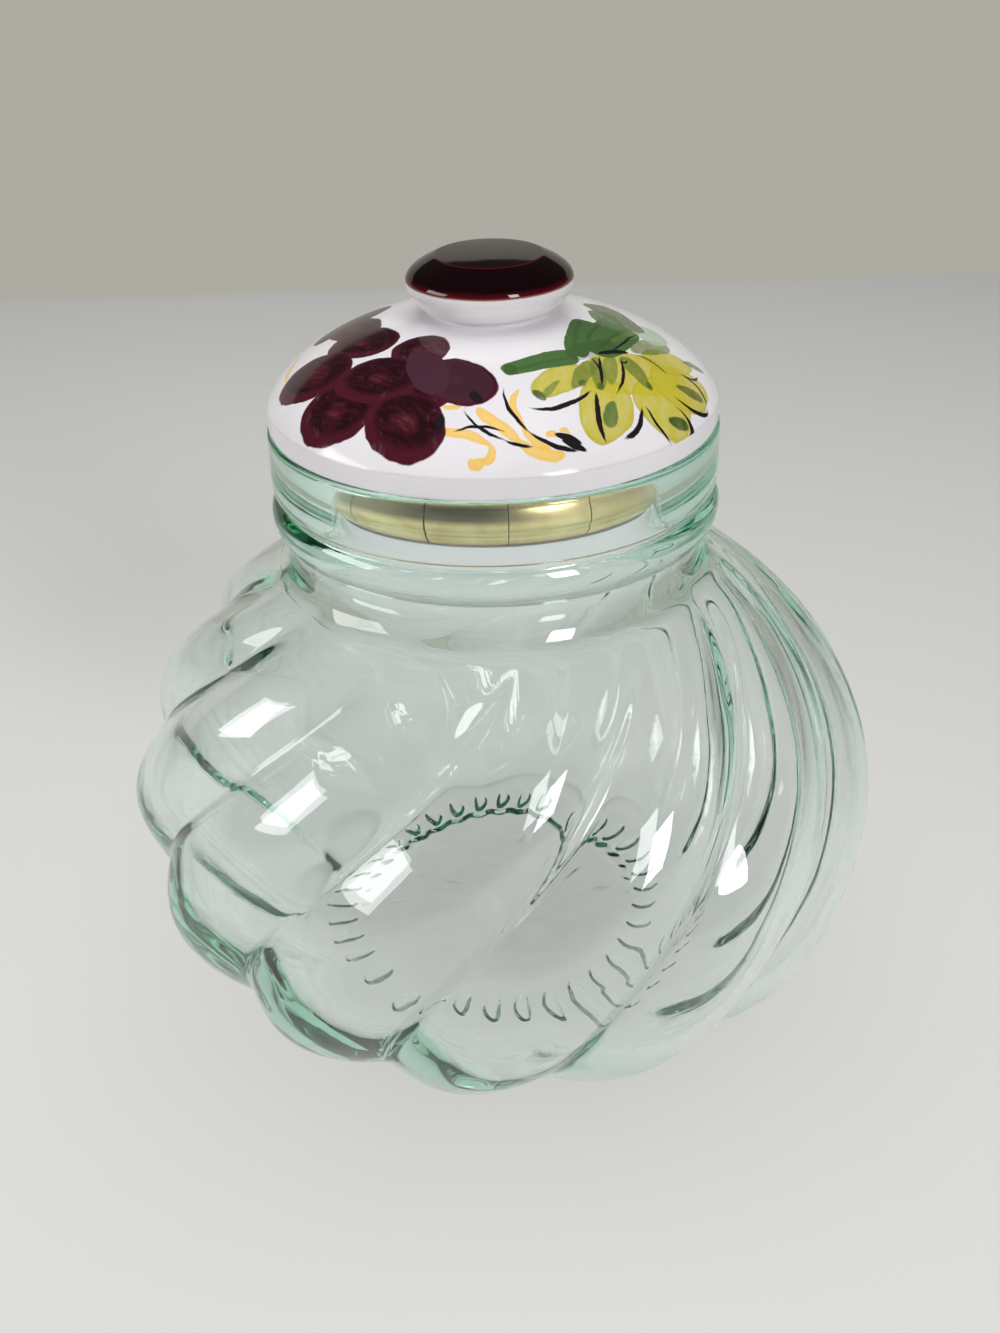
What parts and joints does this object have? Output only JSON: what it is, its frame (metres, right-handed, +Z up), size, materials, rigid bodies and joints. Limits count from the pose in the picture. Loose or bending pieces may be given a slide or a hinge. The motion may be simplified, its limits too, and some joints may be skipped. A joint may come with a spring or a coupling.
{
  "type": "glass storage jar",
  "caption": "Round glass storage jar with a swirled, lobed body and a domed ceramic lid whose hollow plug is held in the neck by a split brass spring band.",
  "frame": {"origin": "on the table, at the centre of the base, on the axis of the jar", "axes": "+Z up along the jar's axis, -Y towards the front of the jar, where the lid's painting is seen in the picture"},
  "size_m": [0.2078, 0.2078, 0.2061],
  "materials": {
    "green_glass": "clear pale green recycled glass, fire polished, deeper green where it is thick",
    "white_glaze": "glossy white glaze with brush-painted fruit and leaves, dark burgundy knob top",
    "spring_brass": "rolled spring brass, satin bright",
    "brown_rubber": "matt brown rubber strip"
  },
  "bodies": {
    "jar": {"glass_jar": "green_glass"},
    "band": {"spring_band": "spring_brass"},
    "lid": {"ceramic_lid": "white_glaze", "band_liner": "brown_rubber"}
  },
  "joints": [
    {"name": "lid_lift", "type": "slide", "parent": "jar", "child": "band", "axis": [0, 0, 1], "range_m": [0, 0.06]},
    {"name": "lid_turn", "type": "hinge", "parent": "band", "child": "lid", "pos_m": [0, 0, 0.1653], "axis": [0, 0, 1], "continuous": true}
  ]
}
